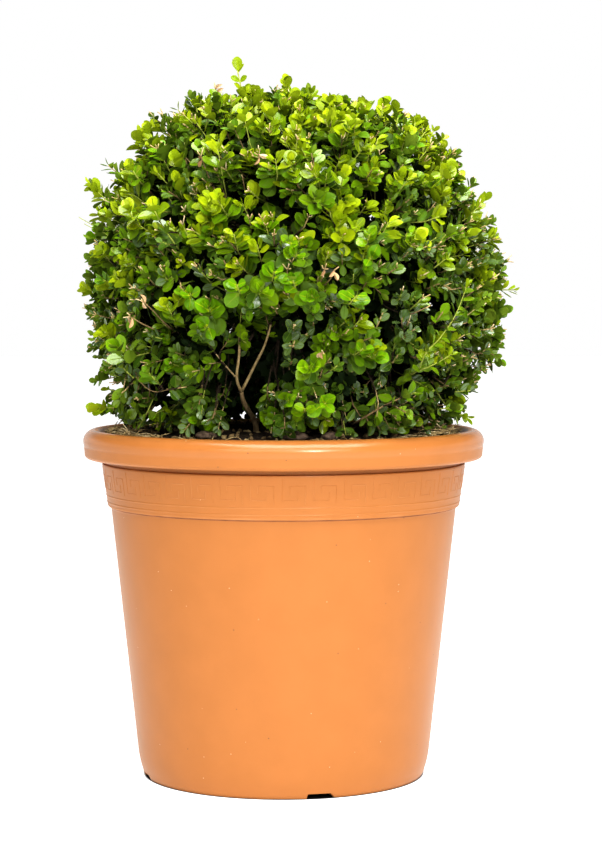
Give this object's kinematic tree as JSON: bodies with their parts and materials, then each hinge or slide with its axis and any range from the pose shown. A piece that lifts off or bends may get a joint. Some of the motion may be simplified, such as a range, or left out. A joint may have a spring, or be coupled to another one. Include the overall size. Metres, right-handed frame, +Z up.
{
  "type": "potted boxwood ball",
  "caption": "Clipped evergreen boxwood ball on a short branching stem, in a round tapered plastic pot with a rolled rim, a raised collar band and drainage notches.",
  "frame": {"origin": "centre of the pot's flat underside, on the ground", "axes": "+Z up; the front, as pictured, is -Y; +X is to the right seen from the front"},
  "size_m": [0.4321, 0.432, 0.7186],
  "materials": {
    "pot": "satin",
    "soil": "matte",
    "stone": "matte",
    "bark": "matte",
    "leaves": "satin"
  },
  "bodies": {
    "root": {"pot": "pot", "soil": "soil", "stone_left": "stone", "stone_middle": "stone", "stone_right": "stone", "stone_back": "stone", "main_stem": "bark", "bough_front": "bark", "bough_front_right": "bark", "bough_back_right": "bark", "bough_back": "bark", "bough_back_left": "bark", "bough_front_left": "bark", "bough_top": "bark", "stem_front_left": "bark", "stem_front_right": "bark", "stem_right": "bark", "stem_back": "bark", "stem_left": "bark", "foliage_front": "leaves", "foliage_front_right": "leaves", "foliage_back_right": "leaves", "foliage_back": "leaves", "foliage_back_left": "leaves", "foliage_front_left": "leaves", "foliage_top": "leaves"}
  },
  "joints": []
}
